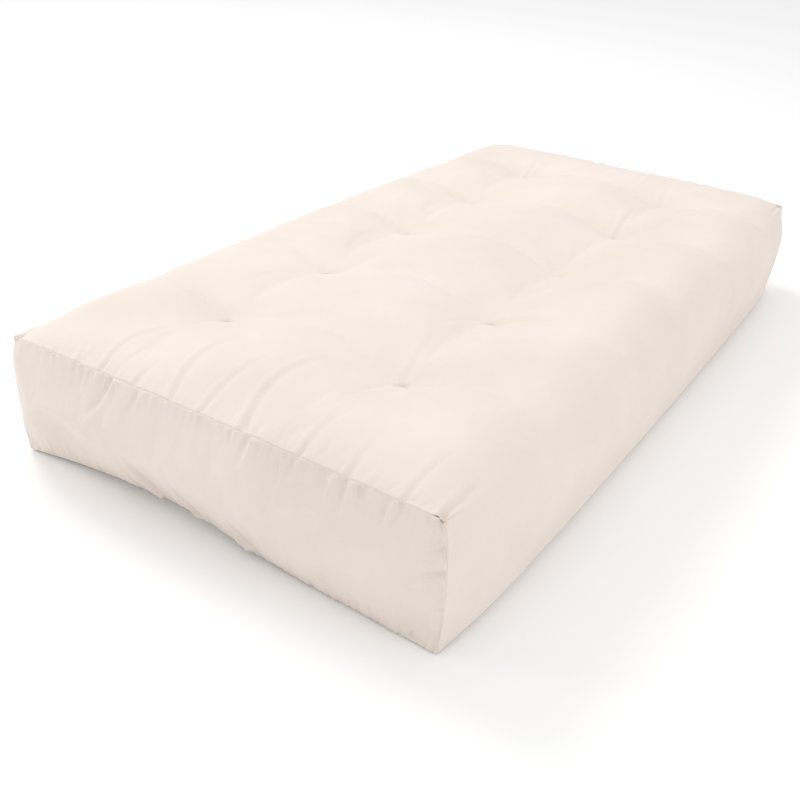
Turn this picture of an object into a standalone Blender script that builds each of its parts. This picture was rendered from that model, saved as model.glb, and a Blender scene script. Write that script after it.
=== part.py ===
"""Twin-size futon mattress: a tufted cotton casing round layers of cotton batting and foam.

Metres, +Z up, +Y along the length, +X across the width. The origin is on the floor, under
the middle of the mattress. The front is the end at -Y, and left is -X.
"""

import math

import bmesh
import bpy

# Overall sizes
LENGTH = 1.905  # over the swell of both ends
WIDTH = 0.9906  # over the swell of both long sides

# Thickness of each layer, from the floor up
BASE_BATTING = 0.050
FOAM_SHEET = 0.030
CORE_BATTING = 0.040
TOP_BATTING = 0.102  # at the fullest puffs

# Casing
CLOTH = 0.0012
GAP = 0.0003  # between pieces that touch
RIM_SETBACK = CLOTH / 2  # the sleeve stops short of the end panels, as its rims lean outwards
CROWN_RISE = 0.036  # the puffs stand this far above the end seam
CORNER_DROP = 0.009  # the end seam falls this much from its middle to its corners
END_BULGE = 0.018
SIDE_BULGE = 0.015
END_INSET = 0.014  # the sides draw in this much at the sewn ends
EDGE_ROLL = 0.100  # width of the rounded long edge on top
UNDER_ROLL = 0.050  # the same on the underside
UNDER_RISE = 0.018  # height of the rounded edge on the underside
EDGE_BATTING = 0.004  # thickness of each top batting where it thins out at a long edge
END_FADE = 0.120  # how far from an end seam its pull dies away
CORNER_LIFT = 0.010  # the end panel's lower edge leaves the floor by this at the corners
ARCH_LIFT = 0.020  # and by this much more half-way across
LIFT_REACH = 0.110

# Tufts
TUFT_X = 0.205
TUFT_PITCH = 0.320
TUFT_ROWS = 5
TUFT_DEPTH = 0.030
TUFT_SPREAD = 0.070
UNDER_DEPTH = 0.026
UNDER_REACH = 0.100
STITCH = 0.012  # from leg to leg of a cord
TWINE_RADIUS = 0.0012
CHANNEL_CLEARANCE = 0.0008  # round both legs of a cord, in the hole down through the fill
NEEDLE_CLEARANCE = 0.0007  # round one leg, in the hole that the needle leaves in the casing
KNOT_RADIUS = 0.0040
BEND = 0.0010

# Places that follow from the sizes
HALF_WIDTH = WIDTH / 2 - CLOTH - GAP / 2
HALF_LENGTH = LENGTH / 2 - CLOTH - 1.5 * GAP
SEAM_Y = HALF_LENGTH - END_BULGE
FLOOR = CLOTH + GAP / 2
CORE_BOTTOM = FLOOR + BASE_BATTING
CORE_MIDDLE = CORE_BOTTOM + FOAM_SHEET + CORE_BATTING
CORE_TOP = CORE_MIDDLE + CORE_BATTING + FOAM_SHEET
END_SEAM = CORE_TOP + TOP_BATTING - CROWN_RISE
TUFT_YS = [TUFT_PITCH * (k - (TUFT_ROWS - 1) / 2) for k in range(TUFT_ROWS)]
TUFTS = [(side * TUFT_X, y) for y in TUFT_YS for side in (-1, 1)]

# Holes for the cords. They are hexagons, so their flats lie nearer than their corners
HOLE_SIDES = 6
FLAT_SHARE = math.cos(math.pi / HOLE_SIDES)
CHANNEL_RADIUS = (STITCH / 2 + TWINE_RADIUS + CHANNEL_CLEARANCE) / FLAT_SHARE
NEEDLE_RADIUS = (TWINE_RADIUS + NEEDLE_CLEARANCE) / FLAT_SHARE
CUTTER_REACH = 0.5  # taller than the mattress, below and above


def steps(start, stop, cells):
    """Evenly spaced places after start, up to and including stop."""
    return [start + (stop - start) * k / cells for k in range(1, cells + 1)]


def mirrored(half):
    return [-place for place in reversed(half)] + [0.0] + half


def grid_columns():
    """Grid lines across the width. One runs through each line of tufts."""
    shoulder = HALF_WIDTH - EDGE_ROLL
    half = steps(0, TUFT_X, 2) + steps(TUFT_X, shoulder, 2)
    return mirrored(half + steps(shoulder, HALF_WIDTH, 2))


def grid_rows():
    """Grid lines along the length. One runs through each row of tufts."""
    last_tuft = TUFT_YS[-1]
    half = steps(0, last_tuft, TUFT_ROWS - 1)
    return mirrored(half + steps(last_tuft, SEAM_Y, 3))


COLUMNS = grid_columns()
ROWS = grid_rows()


def smooth(share):
    """0 to 1 with a soft start and end."""
    share = min(1.0, max(0.0, share))
    return share * share * (3 - 2 * share)


def seam_pull(y):
    """1 at an end seam, dying away to 0 towards the middle."""
    return math.exp(-(SEAM_Y - abs(y)) / END_FADE)


def edge_curve(x, roll):
    """0 on the flat, rising to 1 at the long edge along a quarter of an ellipse."""
    share = max(0.0, (abs(x) - HALF_WIDTH + roll) / roll)
    return 1 - math.sqrt(max(0.0, 1 - share * share))


def top_height(x, y):
    """Top of the fill: crowned, pulled down at each tuft, and rolled over the long edges."""
    across = x / HALF_WIDTH
    height = END_SEAM - CORNER_DROP * across**2
    height += CROWN_RISE * (1 - seam_pull(y)) * math.sqrt(max(0.0, 1 - across**4))
    for tuft_x, tuft_y in TUFTS:
        away = math.hypot(x - tuft_x, y - tuft_y)
        height -= TUFT_DEPTH * math.exp(-away / TUFT_SPREAD)
    edge = CORE_TOP + 2 * EDGE_BATTING
    return height - (height - edge) * edge_curve(x, EDGE_ROLL) * (1 - seam_pull(y))


def bottom_height(x, y):
    """Underside of the fill: flat, but for its rolled edges, lifted ends and tufts."""
    near_end = smooth(1 - (SEAM_Y - abs(y)) / LIFT_REACH)
    arch = ARCH_LIFT * (1 - (x / HALF_WIDTH) ** 2)
    height = FLOOR + (CORNER_LIFT + arch) * near_end
    for tuft_x, tuft_y in TUFTS:
        away = math.hypot(x - tuft_x, y - tuft_y)
        height += UNDER_DEPTH * smooth(1 - away / UNDER_REACH)
    return height + UNDER_RISE * edge_curve(x, UNDER_ROLL) * (1 - seam_pull(y))


CORE_LEVELS = [
    CORE_BOTTOM,
    CORE_BOTTOM + FOAM_SHEET,
    CORE_MIDDLE,
    CORE_TOP - FOAM_SHEET,
    CORE_TOP,
]
TOP_LEVEL = len(CORE_LEVELS) + 3


def level_height(level, x, y):
    """Height of the face between two layers. Level 0 is the underside of the fill."""
    if level == 0:
        return bottom_height(x, y)
    if level == 1:
        return (bottom_height(x, y) + CORE_BOTTOM) / 2
    if level == TOP_LEVEL - 1:
        return (CORE_TOP + top_height(x, y)) / 2
    if level == TOP_LEVEL:
        return top_height(x, y)
    return CORE_LEVELS[level - 2]


def height_share(x, y, z):
    """-1 on the underside of the fill at this x and y, 0 half-way up, 1 on its top."""
    low = bottom_height(x, y)
    high = top_height(x, y)
    return (2 * z - low - high) / (high - low)


def side_reach(y, z):
    """Half width of the fill: the sides swell between their edges and draw in at the ends."""
    swell = SIDE_BULGE * height_share(HALF_WIDTH, y, z) ** 2
    return HALF_WIDTH - swell - END_INSET * seam_pull(y)


def end_reach(x, z):
    """Half length of the fill: the ends swell in their middle."""
    across = 1 - (x / HALF_WIDTH) ** 2
    upright = 1 - height_share(x, SEAM_Y, z) ** 2
    return HALF_LENGTH - END_BULGE * (1 - across * upright)


def grid_point(column, row, level, lift, side_gap, end_gap):
    """Where a grid point lies, raised by lift and moved out by a gap at the borders."""
    x = COLUMNS[column]
    y = ROWS[row]
    z = level_height(level, x, y)
    if abs(x) == COLUMNS[-1]:
        x = math.copysign(side_reach(y, z) + side_gap, x)
    if abs(y) == ROWS[-1]:
        y = math.copysign(end_reach(COLUMNS[column], z) + end_gap, y)
    return x, y, z + lift


def stacked_grid(levels):
    """A closed block in grid units: x counts columns, y rows, and z levels from 0."""
    block = bmesh.new()
    cells = (len(COLUMNS) - 1, len(ROWS) - 1)
    bmesh.ops.create_grid(block, x_segments=cells[0], y_segments=cells[1], size=0.5)
    bmesh.ops.translate(block, verts=block.verts, vec=(0.5, 0.5, 0))
    bmesh.ops.scale(block, verts=block.verts, vec=(*cells, 1))
    bmesh.ops.triangulate(block, faces=block.faces, quad_method="FIXED")
    upper = block.faces[:]
    for level in range(levels):
        below = upper
        grown = bmesh.ops.extrude_face_region(block, geom=below)["geom"]
        upper = [part for part in grown if isinstance(part, bmesh.types.BMFace)]
        raised = [part for part in grown if isinstance(part, bmesh.types.BMVert)]
        bmesh.ops.translate(block, verts=raised, vec=(0, 0, 1))
        if level > 0:
            bmesh.ops.delete(block, geom=below, context="FACES")
    bmesh.ops.recalc_face_normals(block, faces=block.faces)
    return block


def shape_grid(block, first_level, levels, lifts, side_gap, end_gap):
    """Moves a stacked grid's points from grid units to their places in the mattress."""
    for vert in block.verts:
        column, row, level = (round(place) for place in vert.co)
        lift = lifts[0] if level == 0 else lifts[1] if level == levels else 0.0
        vert.co = grid_point(column, row, first_level + level, lift, side_gap, end_gap)


def in_end(face, row):
    return all(round(vert.co.y) == row for vert in face.verts)


def material(name, colour, roughness):
    made = bpy.data.materials.new(name)
    made.use_nodes = True
    shader = made.node_tree.nodes["Principled BSDF"]
    shader.inputs["Base Color"].default_value = (*colour, 1)
    shader.inputs["Roughness"].default_value = roughness
    shader.inputs["Metallic"].default_value = 0.0
    made.diffuse_color = (*colour, 1)
    return made


def new_object(name, data, finish):
    """An object of the mattress, in its collection and under its origin."""
    thing = bpy.data.objects.new(name, data)
    data.materials.append(finish)
    MATTRESS.objects.link(thing)
    thing.parent = ORIGIN
    return thing


def object_from(block, name, finish):
    mesh = bpy.data.meshes.new(name)
    block.to_mesh(mesh)
    block.free()
    return new_object(name, mesh, finish)


def cut(thing, cutter):
    hole = thing.modifiers.new("holes", "BOOLEAN")
    hole.operation = "DIFFERENCE"
    hole.solver = "EXACT"
    hole.object = cutter


def thicken(thing):
    """Gives a surface the cloth's thickness, outwards."""
    cloth = thing.modifiers.new("cloth", "SOLIDIFY")
    cloth.thickness = CLOTH
    cloth.offset = 1
    cloth.use_rim = True


def rods(name, centres, radius):
    """A hidden cutter: one upright rod at each centre."""
    block = bmesh.new()
    for x, y in centres:
        rod = bmesh.ops.create_cone(
            block,
            cap_ends=True,
            segments=HOLE_SIDES,
            radius1=radius,
            radius2=radius,
            depth=2 * CUTTER_REACH,
        )
        bmesh.ops.translate(block, verts=rod["verts"], vec=(x, y, 0))
    mesh = bpy.data.meshes.new(name)
    block.to_mesh(mesh)
    block.free()
    cutter = bpy.data.objects.new(name, mesh)
    cutter.hide_render = True
    cutter.display_type = "WIRE"
    CUTTERS.objects.link(cutter)
    return cutter


def layer(name, level, finish):
    """One sheet of the fill, between this level and the next, with a hole at each tuft."""
    block = stacked_grid(1)
    shape_grid(block, level, 1, (GAP / 2, -GAP / 2), -GAP / 2, -GAP / 2)
    flat = math.radians(0.01)
    bmesh.ops.dissolve_limit(block, angle_limit=flat, verts=block.verts, edges=block.edges)
    sheet = object_from(block, name, finish)
    cut(sheet, CHANNELS)
    return sheet


def casing_wrap(finish):
    """The sleeve of cloth that goes over the top, down both long sides and underneath."""
    block = stacked_grid(TOP_LEVEL)
    last_row = len(ROWS) - 1
    ends = [face for face in block.faces if in_end(face, 0) or in_end(face, last_row)]
    bmesh.ops.delete(block, geom=ends, context="FACES")
    shape_grid(block, 0, TOP_LEVEL, (-GAP / 2, GAP / 2), GAP / 2, GAP / 2 - RIM_SETBACK)
    wrap = object_from(block, "casing_wrap", finish)
    thicken(wrap)
    cut(wrap, NEEDLE_HOLES)
    return wrap


def end_panel(name, row, finish):
    """The cloth sewn over one end. It reaches as far out as the wrap whose edge it meets."""
    block = stacked_grid(TOP_LEVEL)
    others = [face for face in block.faces if not in_end(face, row)]
    bmesh.ops.delete(block, geom=others, context="FACES")
    edge = GAP / 2 + CLOTH
    shape_grid(block, 0, TOP_LEVEL, (-edge, edge), edge, 1.5 * GAP)
    panel = object_from(block, name, finish)
    thicken(panel)
    return panel


def cloth_beside_stitch(height, tuft_x, tuft_y, side):
    """Height of the fill under the ends of a stitch, where it stands furthest out.

    side is 1 on top and -1 underneath.
    """
    index = min(range(len(COLUMNS)), key=lambda k: abs(COLUMNS[k] - tuft_x))
    middle = height(tuft_x, tuft_y)
    slopes = []
    for neighbour in (COLUMNS[index - 1], COLUMNS[index + 1]):
        climb = side * (height(neighbour, tuft_y) - middle)
        slopes.append(climb / abs(neighbour - tuft_x))
    return middle + side * max(slopes) * (STITCH / 2 + TWINE_RADIUS)


def tuft_cord(name, tuft_x, tuft_y, finish):
    """A closed loop of twine: a stitch on top, two legs down, and a knot underneath."""
    cloth = GAP / 2 + CLOTH + GAP
    high = cloth_beside_stitch(top_height, tuft_x, tuft_y, 1) + cloth + TWINE_RADIUS
    low = cloth_beside_stitch(bottom_height, tuft_x, tuft_y, -1) - cloth - KNOT_RADIUS
    leg = STITCH / 2
    half = [(0, low, KNOT_RADIUS), (leg / 3, low, KNOT_RADIUS)]
    half += [(leg * 2 / 3, low, TWINE_RADIUS), (leg - BEND, low, TWINE_RADIUS)]
    half += [(leg, low + BEND, TWINE_RADIUS), (leg, high - BEND, TWINE_RADIUS)]
    half += [(leg - BEND, high, TWINE_RADIUS)]
    route = half + [(-x, z, radius) for x, z, radius in reversed(half[1:])]

    curve = bpy.data.curves.new(name, "CURVE")
    curve.dimensions = "3D"
    curve.bevel_depth = TWINE_RADIUS
    curve.bevel_resolution = 1
    spline = curve.splines.new("POLY")
    spline.points.add(len(route) - 1)
    spline.use_cyclic_u = True
    for point, (x, z, radius) in zip(spline.points, route):
        point.co = (x, 0, z, 1)
        point.radius = radius / TWINE_RADIUS
    cord = new_object(name, curve, finish)
    cord.location = (tuft_x, tuft_y, 0)
    return cord


def clear_scene():
    for thing in list(bpy.data.objects):
        bpy.data.objects.remove(thing, do_unlink=True)


def new_collection(name):
    made = bpy.data.collections.new(name)
    bpy.context.scene.collection.children.link(made)
    return made


clear_scene()
MATTRESS = new_collection("futon_mattress")
CUTTERS = new_collection("cutters")
ORIGIN = bpy.data.objects.new("mattress_origin", None)
MATTRESS.objects.link(ORIGIN)
CHANNELS = rods("tuft_channels", TUFTS, CHANNEL_RADIUS)
LEGS = [(x + side * STITCH / 2, y) for x, y in TUFTS for side in (-1, 1)]
NEEDLE_HOLES = rods("needle_holes", LEGS, NEEDLE_RADIUS)

CREAM_TWILL = (0.871, 0.791, 0.723)
COTTON_WHITE = (0.82, 0.78, 0.70)
FOAM_CREAM = (0.80, 0.72, 0.48)
TWINE_CREAM = (0.80, 0.73, 0.64)
LAYERS = [
    ("base_batting_outer", COTTON_WHITE),
    ("base_batting_inner", COTTON_WHITE),
    ("foam_sheet_bottom", FOAM_CREAM),
    ("core_batting_lower", COTTON_WHITE),
    ("core_batting_upper", COTTON_WHITE),
    ("foam_sheet_top", FOAM_CREAM),
    ("top_batting_inner", COTTON_WHITE),
    ("top_batting_outer", COTTON_WHITE),
]

for number, (layer_name, colour) in enumerate(LAYERS):
    layer(layer_name, number, material(layer_name, colour, 0.95))

casing_wrap(material("casing_wrap", CREAM_TWILL, 0.9))
end_panel("end_panel_front", 0, material("end_panel_front", CREAM_TWILL, 0.9))
end_panel("end_panel_rear", len(ROWS) - 1, material("end_panel_rear", CREAM_TWILL, 0.9))

for number, (tuft_x, tuft_y) in enumerate(TUFTS):
    side_name = "left" if tuft_x < 0 else "right"
    cord_name = f"tuft_cord_{side_name}_{number // 2 + 1}"
    tuft_cord(cord_name, tuft_x, tuft_y, material(cord_name, TWINE_CREAM, 0.7))
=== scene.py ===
# %% [markdown]
# # A tufted futon mattress
#
# A futon mattress is a sack of cotton cloth packed with layers of cotton batting and foam, and
# sewn right through with twine at ten places so that the layers can't wander. Its look comes from
# three things: the puffs that swell between the tufts, the cloth that puckers where it is sewn,
# and the soft, matt, slightly uneven cotton itself.
#
# The solids that were packed beforehand fix every place and size. They are loaded first, and all
# that follows is measured from them.

# %% The fixed frame
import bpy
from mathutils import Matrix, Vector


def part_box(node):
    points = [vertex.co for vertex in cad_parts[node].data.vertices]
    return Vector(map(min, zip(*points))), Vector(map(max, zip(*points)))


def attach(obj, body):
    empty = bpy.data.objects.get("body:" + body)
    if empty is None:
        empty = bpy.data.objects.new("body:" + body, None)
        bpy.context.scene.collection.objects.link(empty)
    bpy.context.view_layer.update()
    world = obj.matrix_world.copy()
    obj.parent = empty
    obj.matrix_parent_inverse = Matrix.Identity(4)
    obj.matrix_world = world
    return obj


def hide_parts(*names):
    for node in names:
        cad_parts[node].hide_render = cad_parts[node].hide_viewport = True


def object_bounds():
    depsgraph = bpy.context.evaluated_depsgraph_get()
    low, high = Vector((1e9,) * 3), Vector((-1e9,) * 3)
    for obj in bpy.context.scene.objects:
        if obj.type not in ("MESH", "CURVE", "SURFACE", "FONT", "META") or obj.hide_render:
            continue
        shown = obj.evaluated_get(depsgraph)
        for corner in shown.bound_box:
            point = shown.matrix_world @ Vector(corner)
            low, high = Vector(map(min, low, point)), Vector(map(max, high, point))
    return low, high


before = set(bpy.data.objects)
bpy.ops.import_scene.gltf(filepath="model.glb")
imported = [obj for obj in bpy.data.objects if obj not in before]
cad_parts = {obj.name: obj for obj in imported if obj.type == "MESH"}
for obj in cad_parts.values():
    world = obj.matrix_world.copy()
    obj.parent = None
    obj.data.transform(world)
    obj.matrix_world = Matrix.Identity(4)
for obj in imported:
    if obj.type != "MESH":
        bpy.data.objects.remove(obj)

cad_low, cad_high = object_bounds()
print("frame:", len(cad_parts), "pieces,", [round(side, 4) for side in cad_high - cad_low])

# %% Blender's modules, and numpy for whole grids of points at once
import math

import bpy
import numpy as np
from mathutils import Matrix, Vector

MM = 0.001

# %% [markdown]
# ## Where things are
#
# The casing is a sleeve that is open at both ends, and each end is closed by a sewn-in panel. So
# the sleeve's box gives the width of the mattress and the place of both end seams, a panel's box
# gives the seam's height, and each tufting cord's box gives one tuft.

# %% Places read from the frame
sleeve_low, sleeve_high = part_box("casing_wrap")
panel_low, panel_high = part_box("end_panel_front")
HALF_WIDTH = sleeve_high.x
SEAM_Y = sleeve_high.y
HALF_LENGTH = cad_high.y
TOP = cad_high.z
SEAM_TOP = panel_high.z
CORE_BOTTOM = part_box("foam_sheet_bottom")[0].z
CORE_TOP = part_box("foam_sheet_top")[1].z
CORD_NAMES = sorted(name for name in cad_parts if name.startswith("tuft_cord_"))
TUFTS = [sum(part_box(name), Vector()) / 2 for name in CORD_NAMES]
TUFT_XS = sorted({round(tuft.x, 4) for tuft in TUFTS})
TUFT_YS = sorted({round(tuft.y, 4) for tuft in TUFTS})
print("seams at y", round(SEAM_Y, 4), "and up to z", round(SEAM_TOP, 4))
print("tufts at x", TUFT_XS, "and y", TUFT_YS)

# %% [markdown]
# ## The form of the filled casing
#
# A mattress could be sculpted by hand, but its form follows simple rules, so functions describe
# it better. The top is crowned, each tuft draws it down to a soft point, and shallow valleys run
# between the tufts. The sewn ends hold everything down to the seam, and that pull dies away over
# a hand's width.
#
# Three helpers come first: a soft step from 0 to 1, the pull of the sewn ends, and the slow
# unevenness of batting that was laid by hand.

# %% Soft step, pull of the ends, and lumps
PULL_FADE = 75 * MM


def smooth(share):
    """0 to 1 with a soft start and end."""
    share = np.clip(share, 0, 1)
    return share * share * (3 - 2 * share)


def end_pull(y, fade):
    """1 at an end seam, dying away to 0 towards the middle."""
    return np.exp(-np.maximum(SEAM_Y - np.abs(y), 0) / fade)


def lumps(x, y, size):
    """Slow unevenness of hand-laid batting, from -1 to 1, with lumps of about this size."""
    waves = [(1.0, 0.35, 0.3), (-0.45, 1.0, 1.9), (0.8, -0.9, 4.1), (0.3, 1.35, 2.7)]
    total = sum(np.sin((a * x + b * y) * math.pi / size + c) for a, b, c in waves)
    return total / len(waves)


print("pull left 100 mm from an end seam:", round(float(end_pull(SEAM_Y - 100 * MM, PULL_FADE)), 2))

# %% [markdown]
# Valleys join the tufts. Along the mattress they follow the two lines of tufts and are faint.
# Across it they are deeper and bow towards the rear, both between two tufts and beside them, so
# that the puff in front of each one is rounded like a pillow. They are steep on their front
# flank and gentle behind, as if the cloth had been smoothed towards the rear before it was tied.

# %% Valleys between the tufts
VALLEY_FRONT = 30 * MM
VALLEY_BACK = 85 * MM
COLUMN_VALLEY = 60 * MM
COLUMN_SHARE = 0.5
ROW_BOW = 50 * MM
BOW_LENGTH = 150 * MM
CUSP_ROUNDING = 0.15
TUFT_SPREAD = 100 * MM
END_FADE = 120 * MM
EDGE_FADE = 160 * MM


def row_line(x, place):
    """Where the valley through a row of tufts runs: it bows back between them and beside them."""
    between = np.clip(1 - (x / TUFT_XS[-1]) ** 2, 0, 1)
    beside = smooth((np.abs(x) - TUFT_XS[-1]) / BOW_LENGTH)
    return place + ROW_BOW * (between + beside)


def soft_cusp(away, reach):
    """1 at a valley's bottom, dying away on both sides, with the bottom itself a little rounded."""
    return np.exp(CUSP_ROUNDING - np.sqrt((away / reach) ** 2 + CUSP_ROUNDING**2))


def valleys(x, y):
    """1 along the bottoms of the valleys that join the tufts. The rows are steeper in front."""
    from_column = np.min([np.abs(x - place) for place in TUFT_XS], axis=0)
    weight = 0.7 + 0.3 * np.exp(-((from_column / TUFT_SPREAD) ** 2))
    rows = 0
    for place in TUFT_YS:
        away = y - row_line(x, place)
        rows = rows + soft_cusp(away, np.where(away < 0, VALLEY_FRONT, VALLEY_BACK))
    inside = smooth((TUFT_YS[-1] + END_FADE - np.abs(y)) / END_FADE)
    on_flat = smooth((HALF_WIDTH - np.abs(x)) / EDGE_FADE)
    columns = COLUMN_SHARE * soft_cusp(from_column, COLUMN_VALLEY) * inside
    return np.maximum(rows * weight * on_flat, columns)


print("depth midway between two tufts of a row:", round(float(valleys(0.0, row_line(0.0, 0.0))), 2))

# %% [markdown]
# The top starts at the height of the end seams and rises to its crown. The tufts and the valleys
# then lower it. A tuft's dip is two dips in one: a wide one where the batting is drawn together,
# and a narrow one where the twine bites.

# %% Height of the top
CORNER_DROP = 4 * MM
CROWN = 30 * MM
TUFT_DEPTH = 15 * MM
TUFT_REACH = 58 * MM
PINCH_DEPTH = 7 * MM
PINCH_REACH = 11 * MM
VALLEY_DEPTH = 23 * MM
LUMP_HEIGHT = 2.5 * MM
LUMP_SIZE = 230 * MM


def tuft_pull(x, y, reach):
    """Sum of the dips round the tufts, each 1 at its tuft."""
    return sum(np.exp(-np.hypot(x - tuft.x, y - tuft.y) / reach) for tuft in TUFTS)


def top_height(x, y):
    """Height of the top at this place."""
    across = np.clip(np.abs(x) / HALF_WIDTH, 0, 1)
    inner = 1 - end_pull(y, PULL_FADE)
    height = SEAM_TOP - CORNER_DROP * across**2 + CROWN * inner * (1 - 0.25 * across**4)
    height = height - TUFT_DEPTH * tuft_pull(x, y, TUFT_REACH)
    height = height - PINCH_DEPTH * tuft_pull(x, y, PINCH_REACH)
    height = height - VALLEY_DEPTH * valleys(x, y) * inner
    return height + LUMP_HEIGHT * lumps(x, y, LUMP_SIZE) * inner


print("top at a tuft", round(float(top_height(TUFT_XS[-1], TUFT_YS[2])), 4))
print("top of a puff", round(float(top_height(0.0, sum(TUFT_YS[1:3]) / 2)), 4))

# %% [markdown]
# The underside lies flat, apart from two things: a shallow dome above each knot, and the foot of
# each end, which its seam draws up and in. That hollow lies to one side of the middle, as hand-laid
# fill is never quite even.

# %% Height of the underside
UNDER_DEPTH = 26 * MM
UNDER_REACH = 100 * MM
CORNER_LIFT = 1 * MM
ARCH_LIFT = 24 * MM
ARCH_REACH = 110 * MM


def hollow_end(x, y):
    """1 where an end's foot is drawn up and in the most: left of its middle, seen facing it."""
    across = np.clip(np.abs(x) / HALF_WIDTH, 0, 1)
    return (1 - across**2) * smooth((0.30 + x * np.sign(y)) / 0.45)


def bottom_height(x, y):
    """Height of the underside at this place."""
    near_end = smooth(1 - (SEAM_Y - np.abs(y)) / ARCH_REACH)
    arch = ARCH_LIFT * hollow_end(x, y)
    domes = sum(smooth(1 - np.hypot(x - t.x, y - t.y) / UNDER_REACH) for t in TUFTS)
    return (CORNER_LIFT + arch) * near_end + UNDER_DEPTH * domes


print("underside at a knot", round(float(bottom_height(TUFT_XS[-1], TUFT_YS[2])), 4))

# %% [markdown]
# Across the mattress, the sleeve is one closed loop: top, side, underside and side. A station on
# that loop is named by its distance from the middle of the top. The loop is first laid on a plain
# rectangle, then its corners are rolled round: a big roll on top, where the batting spills over the
# edge, and a small one at the foot.

# %% The loop across the mattress
ROLL_WIDTH = 92 * MM
ROLL_HEIGHT = 76 * MM
FOOT_WIDTH = 34 * MM
FOOT_HEIGHT = 26 * MM
LOOP_HALF = 2 * HALF_WIDTH + SEAM_TOP


def rolled_loop(u):
    """Share across and share up of each station, on the rectangle and with its rolls."""
    away = np.abs(u)
    across = np.clip(np.minimum(away, LOOP_HALF - away) / HALF_WIDTH, 0, 1)
    up = np.clip(1 - (away - HALF_WIDTH) / SEAM_TOP, 0, 1)
    square = np.stack([across, up])
    rolled = square.copy()
    start = HALF_WIDTH - ROLL_WIDTH
    turn = np.clip((away - start) / (ROLL_WIDTH + ROLL_HEIGHT), 0, 1) * math.pi / 2
    on_roll = (away > start) & (away < HALF_WIDTH + ROLL_HEIGHT)
    rolled[0, on_roll] = (start + ROLL_WIDTH * np.sin(turn[on_roll])) / HALF_WIDTH
    rolled[1, on_roll] = 1 - ROLL_HEIGHT * (1 - np.cos(turn[on_roll])) / SEAM_TOP
    start = HALF_WIDTH + SEAM_TOP - FOOT_HEIGHT
    turn = np.clip((away - start) / (FOOT_HEIGHT + FOOT_WIDTH), 0, 1) * math.pi / 2
    on_foot = (away > start) & (away < start + FOOT_HEIGHT + FOOT_WIDTH)
    rolled[0, on_foot] = 1 - FOOT_WIDTH * (1 - np.cos(turn[on_foot])) / HALF_WIDTH
    rolled[1, on_foot] = FOOT_HEIGHT * (1 - np.sin(turn[on_foot])) / SEAM_TOP
    return square, rolled


print("loop round the mattress:", round(2 * LOOP_HALF, 3), "m")

# %% [markdown]
# The long sides aren't flat. They are fullest at half height and swell between the ends, which
# their seams hold narrower, and a shallow scallop in line with each row of tufts shows how far
# the twine's pull reaches.
#
# A last function moves the points of sleeve and panels alike, so that their edges stay together:
# it dulls the sewn corners, draws the foot of each end in, and lets the seams wander a little.

# %% Width, and small movements shared by all cloth
ROLL_FADE = 55 * MM
SIDE_SWELL = 6 * MM
BELLY = 16 * MM
BELLY_FADE = 200 * MM
END_INSET = 16 * MM
SCALLOP = 4 * MM
FOOT_TUCK = 30 * MM
DULLED_SIDE = 5 * MM
DULLED_END = 4 * MM
DULLED_TOP = 3 * MM
DULLED_REACH = 38 * MM
SEAM_WANDER = 0.5 * MM
WANDER_LENGTHS = (110 * MM, 63 * MM)


def half_width(up, y):
    """Half width of the mattress at this share of its height."""
    scallop = np.cos((y - TUFT_YS[0]) * 2 * math.pi / (TUFT_YS[1] - TUFT_YS[0]))
    inner = 1 - end_pull(y, PULL_FADE)
    swell = BELLY * (1 - end_pull(y, BELLY_FADE)) - SIDE_SWELL * (2 * up - 1) ** 2
    return HALF_WIDTH + swell - END_INSET * end_pull(y, PULL_FADE) - SCALLOP * scallop * inner * up


def settle(points):
    """The points with dulled corners, the ends' feet drawn in, and wandering seams."""
    x, y, z = points[..., 0], points[..., 1], points[..., 2]
    out = points.copy()
    for side in (-1, 1):
        for end in (-1, 1):
            corner = np.array([side * (HALF_WIDTH - END_INSET), end * SEAM_Y, SEAM_TOP])
            near = np.exp(-(np.linalg.norm(points - corner, axis=-1) / DULLED_REACH) ** 2)
            out[..., 0] -= side * DULLED_SIDE * near
            out[..., 1] -= end * DULLED_END * near
            out[..., 2] -= DULLED_TOP * near
    low = 1 - smooth(z / (0.45 * SEAM_TOP))
    drawn_in = np.maximum(hollow_end(x, y), 0.5 * (1 - (x / HALF_WIDTH) ** 2))
    out[..., 1] -= np.sign(y) * FOOT_TUCK * low * drawn_in * end_pull(y, 60 * MM)
    long_wave, short_wave = (x * 2 * math.pi / length for length in WANDER_LENGTHS)
    wander = np.sin(long_wave + 1) + np.sin(short_wave)
    out[..., 2] += SEAM_WANDER * wander * end_pull(y, 20 * MM) * (z > SEAM_TOP / 2)
    return out


print("widest", round(float(2 * half_width(0.5, 0.0)), 3), "and at the seam", end=" ")
print(round(float(2 * half_width(0.5, SEAM_Y)), 3))

# %% [markdown]
# Now the two surfaces themselves. Towards the sewn ends the sleeve's roll gives way to a square
# corner, because there the cloth is sewn to a flat panel. A panel bulges most a little above its
# middle, because its foot is drawn in.

# %% Surfaces of the sleeve and of an end panel
PANEL_BULGE = 1.25 * (HALF_LENGTH - SEAM_Y)


def sleeve_surface(u, y):
    """Points of the sleeve, one row for each y and one column for each station u."""
    square, rolled = rolled_loop(u)
    share = 1 - end_pull(y, ROLL_FADE)[:, None]
    across, up = (square[k] + share * (rolled[k] - square[k]) for k in (0, 1))
    y = np.broadcast_to(y[:, None], across.shape)
    x = np.sign(u) * across * half_width(up, y)
    low, high = bottom_height(x, y), top_height(x, y)
    return settle(np.stack([x, y, low + up * (high - low)], axis=-1))


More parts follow.
